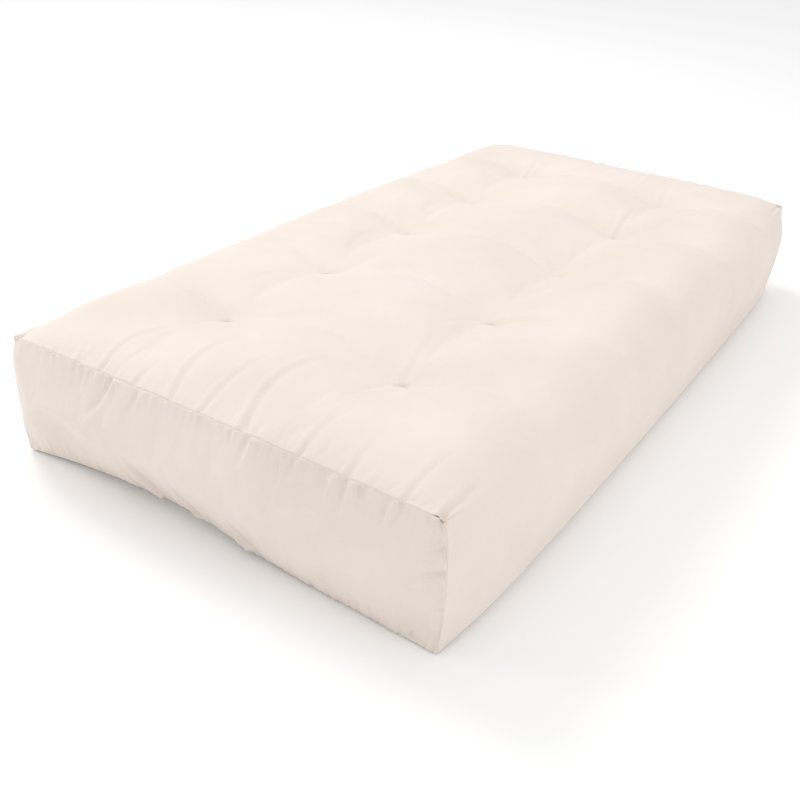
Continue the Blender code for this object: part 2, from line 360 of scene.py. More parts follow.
def panel_surface(p, q, end):
    """Points of an end panel: p runs across from -1 to 1, and q up from 0 to 1."""
    p, q = np.meshgrid(p, q)
    seam = np.full(p.shape, end * SEAM_Y)
    x = p * half_width(q, seam)
    low, high = bottom_height(x, seam), top_height(x, seam)
    puff = (1 - p**6) * (1 - np.abs(2 * q - 1) ** 2.2) * (1 + 0.25 * q)
    y = seam + end * PANEL_BULGE * puff
    return settle(np.stack([x, y, low + q * (high - low)], axis=-1))


print("an end panel bulges by about", round(PANEL_BULGE / MM, 1), "mm")

# %% [markdown]
# ## Grids of points
#
# A sculpted mesh could be any net of faces, but creases and seams are easiest to place on a
# regular grid. The cloth is sampled closely on top and at the sides, where its creases show, and
# widely on the underside. Rows are packed closer towards the seams, where the edges turn in.

# %% Stations across and rows along
TOP_STEP = 4.6 * MM
SIDE_STEP = 6.0 * MM
UNDER_STEP = 24 * MM
SEAM_ROW = 1.6 * MM
WIDEST_ROW = 9.5 * MM


def spaced(start, stop, spacing):
    """An even number of equal steps from start to stop, without start itself."""
    count = 2 * max(1, round((stop - start) / spacing / 2))
    return [start + (stop - start) * k / count for k in range(1, count + 1)]


def closing_in(stop, finest, widest, growth):
    """Places from -stop to stop, in steps that shrink towards both of them."""
    steps = []
    step = finest
    while sum(steps) < stop:
        steps.append(step)
        step = min(widest, step * growth)
    if len(steps) % 2:
        steps.append(step)
    places = np.cumsum([0] + steps) * stop / sum(steps)
    half = stop - places[::-1]
    return np.concatenate([-half[:0:-1], half])


half_loop = [0.0]
half_loop += spaced(0, HALF_WIDTH, TOP_STEP)
half_loop += spaced(HALF_WIDTH, HALF_WIDTH + SEAM_TOP + FOOT_WIDTH, SIDE_STEP)
half_loop += spaced(HALF_WIDTH + SEAM_TOP + FOOT_WIDTH, LOOP_HALF, UNDER_STEP)
half_loop = np.array(half_loop)
STATIONS = np.concatenate([-half_loop[:0:-1], half_loop[:-1]])
ROWS = closing_in(SEAM_Y, SEAM_ROW, WIDEST_ROW, 1.12)
PANEL_P = closing_in(1, 0.0035, 0.0095, 1.1)
PANEL_Q = (closing_in(1, 0.012, 0.034, 1.12) + 1) / 2
print("sleeve grid:", len(ROWS), "rows of", len(STATIONS), "stations")
print("panel grid:", len(PANEL_Q), "rows of", len(PANEL_P))

# %% [markdown]
# A grid becomes a mesh of four-sided faces. The sleeve's grid joins up sideways, as the cloth
# does; a panel's doesn't. The direction out of the surface, which every crease needs, comes from
# the two grid lines that cross at each point.

# %% A grid as a mesh, and its normals
def mesh_from_grid(name, points, closed):
    """A new object of four-sided faces over a grid of points. A closed grid joins up sideways."""
    rows, columns = points.shape[:2]
    index = np.arange(rows * columns).reshape(rows, columns)
    after = np.roll(index, -1, axis=1) if closed else index[:, 1:]
    here = index if closed else index[:, :-1]
    faces = np.stack([here[:-1], after[:-1], after[1:], here[1:]], axis=-1).reshape(-1, 4)
    mesh = bpy.data.meshes.new(name)
    mesh.from_pydata(points.reshape(-1, 3).tolist(), [], faces.tolist())
    mesh.shade_smooth()
    thing = bpy.data.objects.new(name, mesh)
    bpy.context.scene.collection.objects.link(thing)
    return thing


def grid_normals(points, closed):
    """Directions out of a grid's surface."""
    if closed:
        beside = (np.roll(points, -1, axis=1) - np.roll(points, 1, axis=1)) / 2
    else:
        beside = np.gradient(points, axis=1)
    normals = np.cross(beside, np.gradient(points, axis=0))
    return normals / np.maximum(np.linalg.norm(normals, axis=-1, keepdims=True), 1e-12)


sleeve = sleeve_surface(STATIONS, ROWS)
print("sleeve from", sleeve.min(axis=(0, 1)).round(3), "to", sleeve.max(axis=(0, 1)).round(3))

# %% [markdown]
# ## Creases
#
# Cloth that is sewn to a shorter edge, or drawn to a point by a tuft, has more width than room,
# and the spare width stands up in creases. Each crease here is a curved line on the flat cloth,
# with a valley along it and a soft ridge beside it, fading out at its far end. The long ones are
# listed one by one, and the small ones are strewn along the seams by a seeded generator.

# %% One crease on a grid
def add_crease(field, u, v, path, depth, width, ends=(1.0, 0.0), ridge=0.7):
    """Adds a crease to field, which says how far out each point of the grid u by v moves.

    path is its start, a middle point that it bends towards, and its end. ends is how deep it is
    at its start and end, as a share of depth.
    """
    t = np.linspace(0, 1, 20)[:, None]
    start, middle, end = (np.array(point, float) for point in path)
    line = (1 - t) ** 2 * start + 2 * t * (1 - t) * middle + t**2 * end
    low, high = line.min(0) - 5 * width, line.max(0) + 5 * width
    columns = slice(*np.searchsorted(u, [low[0], high[0]]))
    rows = slice(*np.searchsorted(v, [low[1], high[1]]))
    points = np.stack(np.meshgrid(u[columns], v[rows]), axis=-1)
    if points.size == 0:
        return
    best = np.full(points.shape[:2], np.inf)
    side = np.zeros(points.shape[:2])
    along = np.zeros(points.shape[:2])
    for k in range(len(line) - 1):
        step = line[k + 1] - line[k]
        share = np.clip(((points - line[k]) @ step) / (step @ step), 0, 1)
        away = points - line[k] - share[..., None] * step
        distance = np.hypot(away[..., 0], away[..., 1])
        nearer = distance < best
        best = np.where(nearer, distance, best)
        turn = step[0] * away[..., 1] - step[1] * away[..., 0]
        side = np.where(nearer, np.sign(turn), side)
        along = np.where(nearer, (k + share) / (len(line) - 1), along)
    s = best * side / width
    strength = ends[0] + (ends[1] - ends[0]) * along
    strength = strength * (1 - smooth((along - 0.72) / 0.28) * (ends[1] < 1))
    strength = strength * (1 - (1 - smooth(along / 0.25)) * (ends[0] < 1))
    shape = -np.exp(-s * s) + ridge * np.exp(-(((s - 2.0) / 1.3) ** 2))
    field[rows, columns] += depth * strength * shape


print("a crease takes its width, its depth, and a curved line of three points")

# %% [markdown]
# ## Tucking the edges into a seam
#
# At a plain seam both cloths turn inwards and lie face to face. So both edges are led along a
# quarter circle to one line that lies a little way inside, and all that shows from outside is a
# fine groove between two rounded lips.

# %% Tucking an edge into its seam
LIP = 3.0 * MM
GROOVE_DEPTH = 2.0 * MM
CORNER_ROUND = 12 * MM


def inwards(points, end):
    """Direction into the mattress at the seam of this end, half inwards and half lengthwise."""
    x, z = points[..., 0], points[..., 2]
    seam = np.full(x.shape, end * SEAM_Y)
    low, high = bottom_height(x, seam), top_height(x, seam)
    share = np.clip((z - low) / (high - low), 0, 1)
    beside = np.sign(x) * np.maximum(np.abs(x) - half_width(share, seam) + CORNER_ROUND, 0)
    middle = (low + high) / 2
    above = np.sign(z - middle) * np.maximum(np.abs(z - middle) - (high - low) / 2 + CORNER_ROUND, 0)
    out = np.stack([beside, np.zeros(x.shape), above], axis=-1)
    out = out / np.maximum(np.linalg.norm(out, axis=-1, keepdims=True), 1e-6)
    out[..., 1] = end
    return -out / math.sqrt(2)


def tucked(points, distance, end):
    """The points with the edge at this end tucked in. distance is how far each is from it."""
    share = np.clip(1 - distance / LIP, 0, 1)
    depth = GROOVE_DEPTH * (1 - np.sqrt(np.maximum(0, 1 - share**2)))
    return points + inwards(points, end) * depth[..., None]


print("seam groove", GROOVE_DEPTH / MM, "mm deep between lips of", LIP / MM, "mm")

# %% [markdown]
# ## Letting the cloth swell
#
# Drawn by functions alone, the casing looks as smooth as a moulded shell. Real cloth is cut a
# little larger than its filling and is held only where it is sewn: at the end seams and at the
# tufts. So each grid goes through Blender's cloth simulation with two or three per cent of spare
# cloth, pushed out by a little pressure, and held at its sewn points. Gravity is off, because the
# fill carries the cloth.

# %% The cloth simulation
SIM_FRAMES = 18


def held_places(spots, reach, points):
    """1 for points within reach of any of these spots, seen from above."""
    held = np.zeros(points.shape[:2])
    for spot in spots:
        away = np.hypot(points[..., 0] - spot.x, points[..., 1] - spot.y)
        held[away < reach] = 1
    return held


def swollen(name, points, closed, held, pressure, spare):
    """Lets a grid of cloth swell from its held points, and returns how far each point moved."""
    thing = mesh_from_grid(name, points, closed)
    group = thing.vertex_groups.new(name="held")
    group.add([int(i) for i in np.flatnonzero(held.ravel())], 1, "REPLACE")
    cloth = thing.modifiers.new("cloth", "CLOTH")
    settings = cloth.settings
    settings.quality = 6
    settings.mass = 0.15
    settings.tension_stiffness = 12
    settings.compression_stiffness = 12
    settings.shear_stiffness = 4
    settings.bending_stiffness = 0.03
    settings.use_pressure = True
    settings.uniform_pressure_force = pressure
    settings.shrink_min = -spare
    settings.vertex_group_mass = "held"
    settings.effector_weights.gravity = 0
    cloth.collision_settings.use_collision = False
    cloth.point_cache.frame_end = SIM_FRAMES
    scene = bpy.context.scene
    for number in range(1, SIM_FRAMES + 1):
        scene.frame_set(number)
    shown = thing.evaluated_get(bpy.context.evaluated_depsgraph_get())
    moved = np.zeros(len(shown.data.vertices) * 3)
    shown.data.vertices.foreach_get("co", moved)
    moved = moved.reshape(points.shape) - points
    scene.frame_set(1)
    bpy.data.objects.remove(thing)
    far = np.linalg.norm(moved, axis=-1) / MM
    print(name, "swelled by", far.mean().round(1), "mm, at most", far.max().round(1))
    return moved


# %% [markdown]
# Cloth with nothing behind it crumples into sharp little folds. Here a soft but heavy fill backs
# it, which presses most of them flat. So the distance that each point moved is ironed: blended
# with its neighbours' again and again, and only a share of the folds is kept. The fill also
# carries the cloth more at the sides and the foot than on top, and in the valleys, so there the
# swelling counts for less.

# %% The sleeve, swollen and ironed
SLEEVE_PRESSURE = 1.5
SLEEVE_SPARE = 0.022
SLEEVE_IRONING = 30
FOLDS_KEPT = 0.3
TOP_SHARE = 0.65
SIDE_SHARE = 0.5
FOOT_SHARE = 0.12
VALLEY_CALM = 0.5


def ironed(moved, times, keep):
    """How far each point moved, with its folds pressed flat by the fill, all but this share."""
    soft = moved.copy()
    for _ in range(times):
        soft = (np.roll(soft, 1, axis=1) + 2 * soft + np.roll(soft, -1, axis=1)) / 4
        soft[1:-1] = (soft[:-2] + 2 * soft[1:-1] + soft[2:]) / 4
    return soft + keep * (moved - soft)


held = held_places(TUFTS, 8 * MM, sleeve)
held[:2] = held[-2:] = 1
held[:, np.abs(STATIONS) > HALF_WIDTH + SEAM_TOP + FOOT_WIDTH] = 1
moved = swollen("swelling_sleeve", sleeve, True, held, SLEEVE_PRESSURE, SLEEVE_SPARE)
moved = ironed(moved, SLEEVE_IRONING, FOLDS_KEPT)
moved *= (1 - VALLEY_CALM * valleys(sleeve[..., 0], sleeve[..., 1]))[..., None]
shares = (TOP_SHARE, TOP_SHARE, SIDE_SHARE, FOOT_SHARE, FOOT_SHARE)
places = (0, HALF_WIDTH - 60 * MM, HALF_WIDTH + 80 * MM, HALF_WIDTH + 0.8 * SEAM_TOP, LOOP_HALF)
sleeve = sleeve + moved * np.interp(np.abs(STATIONS), places, shares)[:, None]
print("sleeve now up to", sleeve[..., 2].max().round(4), "m high")

# %% [markdown]
# Each end panel is held all round its edge and bulges in between. Its first and last columns lie
# in the upright seams, so they are put back exactly where they were.

# %% The end panels, swollen and ironed
PANEL_PRESSURE = 1.0
PANEL_SPARE = 0.03
PANEL_IRONING = 24
panels = {}
for end_name, end in (("front", -1), ("rear", 1)):
    points = panel_surface(PANEL_P, PANEL_Q, end)
    points = points[:, ::-end]
    held = np.ones(points.shape[:2])
    held[1:-1, 1:-1] = 0
    moved = swollen(f"swelling_{end_name}", points, False, held, PANEL_PRESSURE, PANEL_SPARE)
    moved = ironed(moved, PANEL_IRONING, FOLDS_KEPT)
    moved[:, 0] = moved[:, -1] = 0
    points = points + moved
    panels[end_name] = points
print("panels reach", [round(float(np.abs(points[..., 1]).max()), 4) for points in panels.values()])

# %% [markdown]
# ## Puckers along a seam
#
# The simulation's cells are some five millimetres wide, so its folds are soft. The sharp creases
# are added now. All along a machine-sewn seam the cloth puckers, in short creases that are never
# quite alike. They are strewn by a generator with a fixed seed, so they come out the same in
# every run.

# %% Strewn puckers
SEAM_CALM = 6 * MM
random = np.random.default_rng(7)


def seam_puckers(field, u, v, across, seam, into, lengths, closeness, deep):
    """Strews short creases along a seam. into is the direction away from it, 1 or -1."""
    place = across[0]
    while place < across[1]:
        length = random.uniform(*lengths)
        slant = random.uniform(-0.4, 0.4) * length
        path = [(place, seam), (place, seam + into * length / 2), (place + slant, seam + into * length)]
        depth = random.uniform(0.4, 1.2) * MM * deep
        add_crease(field, u, v, path, depth, random.uniform(2.2, 4.0) * MM)
        place += random.uniform(0.4, 1.6) * closeness


field = np.zeros(sleeve.shape[:2])
print("the last", SEAM_CALM / MM, "mm before a seam stay smooth, so that its edges meet")

# %% [markdown]
# The longest creases run from the end seams in towards the first tufts. They are listed one by
# one, from side to side. Each is told by its place on the seam, how far it leans and reaches, and
# how far it bows; the rear end gets the same ones, turned round.

# %% Creases from the end seams
# Place on the seam, how far it leans, how far in it reaches, how far it bows, and its depth
END_CREASES = [
    (-0.363, -0.027, 0.065, 0.000, 1.0),
    (-0.299, -0.023, 0.075, 0.000, 1.1),
    (-0.240, 0.048, 0.225, -0.022, 2.0),
    (-0.211, 0.017, 0.105, 0.000, 1.3),
    (-0.158, 0.012, 0.095, 0.004, 1.1),
    (-0.065, -0.012, 0.250, -0.020, 2.4),
    (0.005, 0.013, 0.200, -0.008, 2.0),
    (0.102, -0.007, 0.270, -0.030, 3.0),
    (0.165, -0.004, 0.060, 0.000, 1.0),
    (0.218, -0.022, 0.145, 0.004, 2.2),
    (0.261, -0.037, 0.090, 0.000, 1.2),
    (0.312, -0.015, 0.120, -0.003, 1.7),
    (0.359, -0.013, 0.075, 0.000, 1.0),
    (0.417, -0.008, 0.165, -0.006, 1.8),
]
for end in (-1, 1):
    seam = end * SEAM_Y
    reach = HALF_WIDTH + SEAM_TOP
    seam_puckers(field, STATIONS, ROWS, (-reach, reach), seam, -end, (14 * MM, 50 * MM), 13 * MM, 1.5)
    for place, lean, length, bow, depth in END_CREASES:
        start = (-end * place, seam)
        tip = (start[0] - end * lean, seam - end * length)
        bend = ((start[0] + tip[0]) / 2 - 2 * end * bow, seam - end * length / 2)
        path = [start, bend, tip]
        add_crease(field, STATIONS, ROWS, path, 1.3 * depth * MM, (3.2 + depth) * MM, ridge=0.8)
print(len(END_CREASES), "long creases from each end seam")

# %% [markdown]
# Others start at a tuft and run towards its neighbour, the middle, an edge or an end. They are
# listed one by one too, each with the tuft that it starts from.

# %% Creases from the tufts
# Tuft, the point that the crease bends towards, its end, and its depth
TUFT_CREASES = [
    ((0.205, -0.64), (0.172, -0.53), (0.157, -0.44), 2.0),
    ((0.205, -0.64), (0.188, -0.72), (0.178, -0.83), 2.4),
    ((0.205, -0.64), (0.300, -0.68), (0.380, -0.70), 1.4),
    ((-0.205, -0.64), (-0.110, -0.66), (-0.050, -0.72), 1.8),
    ((-0.205, -0.64), (-0.290, -0.60), (-0.370, -0.61), 1.6),
    ((0.205, -0.32), (0.153, -0.39), (0.150, -0.50), 2.4),
    ((0.205, -0.32), (0.279, -0.25), (0.381, -0.235), 2.6),
    ((-0.205, -0.32), (-0.295, -0.263), (-0.367, -0.266), 2.0),
    ((-0.205, -0.32), (-0.150, -0.27), (-0.130, -0.19), 1.6),
    ((0.205, 0.0), (0.110, 0.10), (-0.020, 0.150), 3.2),
    ((0.205, 0.0), (0.290, 0.03), (0.370, 0.02), 1.8),
    ((-0.205, 0.0), (-0.310, 0.060), (-0.400, 0.045), 2.6),
    ((0.205, 0.32), (0.180, 0.46), (0.169, 0.58), 2.4),
    ((-0.205, 0.32), (-0.280, 0.37), (-0.370, 0.36), 2.0),
    ((-0.205, 0.32), (-0.120, 0.36), (-0.020, 0.345), 1.6),
    ((0.205, 0.64), (0.184, 0.74), (0.179, 0.83), 2.4),
    ((0.205, 0.64), (0.160, 0.72), (0.120, 0.79), 1.8),
    ((-0.205, 0.64), (-0.215, 0.73), (-0.240, 0.82), 2.0),
]
for start, middle, tip, depth in TUFT_CREASES:
    add_crease(field, STATIONS, ROWS, [start, middle, tip], depth * MM, (3.5 + depth) * MM, ridge=0.8)
print(len(TUFT_CREASES), "long creases from the tufts")

# %% [markdown]
# At a square end, the long top edge starts as a sharp fold that loosens into the roll after a
# hand's width. And where the batting spills over the edge between two rows of tufts, the cloth of
# the roll sags into a wide, lazy crease.

# %% Creases of the long edges
ROLL_CREASES = [(-0.235, -0.24, -0.30), (0.05, 0.05, -0.01), (0.37, 0.37, 0.31), (0.69, 0.69, 0.64)]
for side in (-1, 1):
    for end in (-1, 1):
        edge = side * (HALF_WIDTH - 9 * MM)
        bend = (edge - side * 6 * MM, end * (SEAM_Y - 60 * MM))
        tip = (edge - side * 12 * MM, end * (SEAM_Y - 140 * MM))
        path = [(edge, end * SEAM_Y), bend, tip]
        add_crease(field, STATIONS, ROWS, path, 5.0 * MM, 5.5 * MM, ridge=0.4)
for side in (-1, 1):
    for place, bend, tip in ROLL_CREASES:
        path = [(side * 0.33, place), (side * 0.45, bend), (side * 0.57, tip)]
        add_crease(field, STATIONS, ROWS, path, 3.2 * MM, 7 * MM, ends=(0.5, 0.0), ridge=0.8)
print(4, "edge folds and", 2 * len(ROLL_CREASES), "creases on the rolls")

# %% [markdown]
# Each tuft also gathers a star of small folds round itself. There are too many of them to place
# one by one, and nobody could tell, so they are strewn like the puckers.

# %% Stars of small folds round the tufts
STAR_FOLDS = 6
for tuft in TUFTS:
    turn = random.uniform(0, 2 * math.pi)
    for k in range(STAR_FOLDS):
        angle = turn + k * 2 * math.pi / STAR_FOLDS + random.uniform(-0.4, 0.4)
        reach = random.uniform(30, 75) * MM
        tip = (tuft.x + reach * math.cos(angle), tuft.y + reach * math.sin(angle))
        bend = (tuft.x + reach / 2 * math.cos(angle + 0.3), tuft.y + reach / 2 * math.sin(angle + 0.3))
        path = [(tuft.x, tuft.y), bend, tip]
        add_crease(field, STATIONS, ROWS, path, random.uniform(0.8, 1.8) * MM, random.uniform(4, 7) * MM)
print(len(TUFTS) * STAR_FOLDS, "small folds round the tufts")

# %% [markdown]
# So far the creases are only numbers on the flat cloth. Now each point of the sleeve moves out or
# in by its number. At the four top corners, where three seams meet, the spare cloth is pushed
# into a small dark notch. It is pressed in after the rest, and last of all the edges are tucked.

# %% The sleeve's finished form
NOTCH_DEPTH = 7 * MM
NOTCH_WIDTH = 5 * MM
from_seam = SEAM_Y - np.abs(ROWS)
field *= smooth(from_seam / SEAM_CALM)[:, None]
sleeve = sleeve + grid_normals(sleeve, True) * field[..., None]
notches = np.zeros(sleeve.shape[:2])
for side in (-1, 1):
    for end in (-1, 1):
        x = side * (HALF_WIDTH - 6 * MM)
        bend = (x - side * 3 * MM, end * (SEAM_Y - 12 * MM))
        tip = (x - side * 7 * MM, end * (SEAM_Y - 26 * MM))
        path = [(x, end * SEAM_Y), bend, tip]
        add_crease(notches, STATIONS, ROWS, path, NOTCH_DEPTH, NOTCH_WIDTH, ridge=0.3)
sleeve = sleeve + grid_normals(sleeve, True) * notches[..., None]
for end in (-1, 1):
    distance = np.where(np.sign(ROWS) == end, from_seam, 1)[:, None] * np.ones(len(STATIONS))
    sleeve = tucked(sleeve, distance, end)
print("creases from", (field.min() / MM).round(1), "to", (field.max() / MM).round(1), "mm")

# %% [markdown]
# An end panel is sewn in all round, so it puckers along all four seams, more along its top and
# its foot, where it is gathered to the sleeve. Its long creases hang from those seams like
# curtain folds, and one fan runs in from the side, below a corner.

# %% Creases of the end panels
# Start, the point that the crease bends towards, its end (all across and up), and its depth
PANEL_CREASES = [
    ((-0.132, 0.020), (-0.145, 0.080), (-0.168, 0.130), 5.8),
    ((-0.028, 0.020), (-0.045, 0.065), (-0.068, 0.105), 4.7),
    ((0.092, 0.020), (0.072, 0.065), (0.043, 0.108), 4.7),
    ((0.108, 0.030), (0.090, 0.075), (0.062, 0.122), 3.6),
    ((-0.211, 0.2586), (-0.225, 0.200), (-0.276, 0.150), 4.3),
    ((-0.141, 0.2586), (-0.150, 0.220), (-0.160, 0.185), 2.7),
    ((0.112, 0.2586), (0.104, 0.220), (0.098, 0.195), 4.0),
    ((0.210, 0.2586), (0.200, 0.225), (0.193, 0.200), 3.6),
    ((0.278, 0.2586), (0.268, 0.225), (0.262, 0.195), 3.6),
    ((0.312, 0.2586), (0.303, 0.225), (0.296, 0.190), 3.2),
    ((0.393, 0.2586), (0.383, 0.225), (0.374, 0.195), 4.0),
    ((0.413, 0.2586), (0.405, 0.230), (0.398, 0.205), 2.9),
    ((0.490, 0.205), (0.460, 0.190), (0.431, 0.183), 4.3),
    ((0.490, 0.192), (0.455, 0.176), (0.412, 0.167), 4.0),
    ((0.490, 0.163), (0.450, 0.150), (0.412, 0.140), 3.6),
]
across, up = PANEL_P * HALF_WIDTH, PANEL_Q * SEAM_TOP
span = (-HALF_WIDTH, HALF_WIDTH)
for end_name, points in panels.items():
    field = np.zeros(points.shape[:2])
    seam_puckers(field, across, up, span, SEAM_TOP, -1, (14 * MM, 60 * MM), 12 * MM, 3.0)
    seam_puckers(field, across, up, span, 0, 1, (20 * MM, 80 * MM), 11 * MM, 3.2)
    for side in (-1, 1):
        seam = side * HALF_WIDTH
        seam_puckers(field.T, up, across, (0, SEAM_TOP), seam, -side, (8 * MM, 32 * MM), 8 * MM, 2.6)
    for start, middle, tip, depth in PANEL_CREASES:
        width = (3.0 + 0.7 * depth) * MM
        add_crease(field, across, up, [start, middle, tip], 1.3 * depth * MM, width)
    from_edge = np.minimum.outer(SEAM_TOP / 2 - np.abs(up - SEAM_TOP / 2), HALF_WIDTH - np.abs(across))
    field *= smooth(from_edge / SEAM_CALM)
    points = points + grid_normals(points, False) * field[..., None]
    panels[end_name] = tucked(points, from_edge, -1 if end_name == "front" else 1)
    print(end_name, "panel's creases from", (field.min() / MM).round(1), "mm")

# %% [markdown]
# The three grids become the three pieces of the casing. Each stands for its solid and rides on
# the mattress's one body, tight over its fill.

# %% The casing's pieces
sleeve_cloth = mesh_from_grid("casing_wrap_cloth", sleeve, True)
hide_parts("casing_wrap")
casing = [sleeve_cloth]
for end_name, points in panels.items():
    panel = mesh_from_grid(f"end_panel_{end_name}_cloth", points, False)
    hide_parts(f"end_panel_{end_name}")
    casing.append(panel)
for piece in casing:
    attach(piece, "root")
print({piece.name: len(piece.data.polygons) for piece in casing}, "faces")

# %% [markdown]
# ## The fill
#
# Inside lie eight sheets: cotton batting, with a sheet of foam above and below the core. Each
# one is a block between two levels. The uppermost and lowermost follow the cloth, and all of them
# reach out to it at the sides, so a sheet's edges are looked up in the finished sleeve. To stay
# clear of every crease, the lowest point of the cloth nearby counts on top, and the highest one
# underneath.

# %% What the sleeve leaves for the fill
FILL_CLEARANCE = 4 * MM
FILL_STEP = 4
FILL_ROWS = np.flatnonzero(np.abs(ROWS) < SEAM_Y - 50 * MM)[::FILL_STEP]
NEARBY_STATIONS = 6
ON_TOP = np.abs(STATIONS) < HALF_WIDTH + ROLL_HEIGHT
UNDERNEATH = np.abs(STATIONS) > HALF_WIDTH + SEAM_TOP / 2


def nearby(heights, reach, pick):
    """Each height replaced by the lowest or highest within reach places of it, along a row."""
    return pick([np.roll(heights, k) for k in range(-reach, reach + 1)], axis=0)


def row_profile(row):
    """Heights of top and underside by place across, and both sides' places by height, of one row."""
    rows = sleeve[max(row - FILL_STEP, 0) : row + FILL_STEP + 1]
    profile = []
    for part, pick in ((ON_TOP, np.min), (UNDERNEATH, np.max)):
        x = rows[:, part, 0].mean(axis=0)
        z = nearby(pick(rows[:, part, 2], axis=0), NEARBY_STATIONS, pick)
        order = np.argsort(x)
        profile.append((x[order], z[order]))
    for side in (-1, 1):
        out = STATIONS * side
        wall = (out > HALF_WIDTH - ROLL_WIDTH) & (out < HALF_WIDTH + SEAM_TOP + FOOT_WIDTH)
        x = (rows[:, wall, 0] * side).min(axis=0)
        z = rows[:, wall, 2].mean(axis=0)
        order = np.argsort(z)
        profile.append((z[order], x[order]))
    return profile


print(len(FILL_ROWS), "rows of the sleeve carry the fill")

# %% [markdown]
# A level between two sheets is either flat, and then it is named by its height, or it follows
# the cloth. The levels that follow it take their width where the sheets come nearest to the
# sides, a little above or below the core.

# %% Levels between the sheets
FILL_SHARES = np.linspace(-1, 1, 57)
WIDTH_TAKEN_AT = {
    "top": CORE_TOP + 12 * MM,
    "upper": CORE_TOP + 6 * MM,
    "under": 40 * MM,
    "lower": 46 * MM,
}


def level_points(level):
    """Points of one level between two sheets, one row for each of the fill's rows.

    A level is a height, or "top", "upper", "under" or "lower" for those that follow the cloth.
    """
    rows = []
    for row in FILL_ROWS:
        top, under, *sides = row_profile(row)
        height = WIDTH_TAKEN_AT.get(level, level)
        left, right = (np.interp(height, zs, xs) - FILL_CLEARANCE for zs, xs in sides)
        x = FILL_SHARES * np.where(FILL_SHARES < 0, left, right)
        high = np.maximum(np.interp(x, *top) - FILL_CLEARANCE, CORE_TOP + 2 * MM)
        low = np.minimum(np.interp(x, *under) + FILL_CLEARANCE, CORE_BOTTOM - 2 * MM)
        z = {"top": high, "upper": (high + CORE_TOP) / 2, "under": low, "lower": (low + CORE_BOTTOM) / 2}
        z = z.get(level, np.full(x.shape, level if isinstance(level, float) else 0))
        rows.append(np.stack([x, np.full(x.shape, ROWS[row]), z], axis=-1))
    return np.array(rows)


print("widths of the soft levels taken", [round(z, 3) for z in WIDTH_TAKEN_AT.values()], "m up")

# %% [markdown]
# A sheet is closed: a grid below, a grid above, and walls round the border of both. Neighbours
# would share a level exactly and flicker, so each sheet is drawn one per cent in from its levels.

# %% A closed sheet between two levels
SHEET_INSET = 0.01


def fill_sheet(name, low_level, high_level):
    """A closed block between two levels."""
    low, high = level_points(low_level), level_points(high_level)
    low, high = low + (high - low) * SHEET_INSET, high - (high - low) * SHEET_INSET
    rows, columns = low.shape[:2]
    index = np.arange(rows * columns).reshape(rows, columns)
    corners = [index[:-1, :-1], index[:-1, 1:], index[1:, 1:], index[1:, :-1]]
    quads = np.stack(corners, axis=-1).reshape(-1, 4)
    border = np.concatenate([index[0, :-1], index[:-1, -1], index[-1, :0:-1], index[:0:-1, 0]])
    after = np.roll(border, -1)
    above = rows * columns
    walls = np.stack([border, after, after + above, border + above], axis=-1)
    faces = np.concatenate([quads[:, ::-1], quads + above, walls])
    points = np.concatenate([low.reshape(-1, 3), high.reshape(-1, 3)])
    mesh = bpy.data.meshes.new(name)
    mesh.from_pydata(points.tolist(), [], faces.tolist())
    mesh.shade_smooth()
    mesh.set_sharp_from_angle(angle=math.radians(50))
    thing = bpy.data.objects.new(name, mesh)
    bpy.context.scene.collection.objects.link(thing)
    return thing


print("sheets of", len(FILL_ROWS), "by", len(FILL_SHARES), "points on each face")

# %% [markdown]
# From the floor up, the sheets are two battings, foam, the two core battings, foam, and two
# battings again. The core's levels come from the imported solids.

# %% The eight sheets
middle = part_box("core_batting_lower")[1].z
foam_low, foam_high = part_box("foam_sheet_bottom")[1].z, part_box("foam_sheet_top")[0].z
SHEETS = [
    ("base_batting_outer", "under", "lower", "cotton_batting"),
    ("base_batting_inner", "lower", CORE_BOTTOM, "cotton_batting"),
    ("foam_sheet_bottom", CORE_BOTTOM, foam_low, "foam"),
    ("core_batting_lower", foam_low, middle, "cotton_batting"),
    ("core_batting_upper", middle, foam_high, "cotton_batting"),
    ("foam_sheet_top", foam_high, CORE_TOP, "foam"),
    ("top_batting_inner", CORE_TOP, "upper", "cotton_batting"),
    ("top_batting_outer", "upper", "top", "cotton_batting"),
]
fill = []
for node, low_level, high_level, slot in SHEETS:
    ending = "fleece" if slot == "cotton_batting" else "slab"
    sheet = fill_sheet(f"{node}_{ending}", low_level, high_level)
    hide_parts(node)
    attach(sheet, "root")
    fill.append(sheet)
print([sheet.name for sheet in fill])

# %% [markdown]
# ## Tufting twine
#
# Each tuft is one length of waxed cotton twine. It comes up beside the tuft, crosses the top as a
# short stitch, goes down again, and both tails are tied underneath with a packer's knot, a few
# turns round the standing legs. Its route could be drawn as a curve by hand ten times over. Here
# a list of corners says it once, and it is then softened, because twine takes no sharp bend.

# %% The route of one twine
STITCH = 12 * MM
KNOT_TURNS = 3
KNOT_RISE = 2.6 * MM
KNOT_RADIUS = 2.6 * MM
TAIL = 28 * MM


def even_points(corners, spacing):
    """Points at this spacing along straight runs between corners."""
    corners = np.array(corners)
    along = np.concatenate([[0], np.cumsum(np.linalg.norm(np.diff(corners, axis=0), axis=1))])
    at = np.arange(0, along[-1], spacing)
    return np.stack([np.interp(at, along, corners[:, k]) for k in range(3)], axis=-1)


def softened(points, times):
    """Rounds off the corners of a line, by moving each point towards its neighbours."""
    points = points.copy()
    for _ in range(times):
        points[1:-1] = (points[:-2] + 2 * points[1:-1] + points[2:]) / 4
    return points


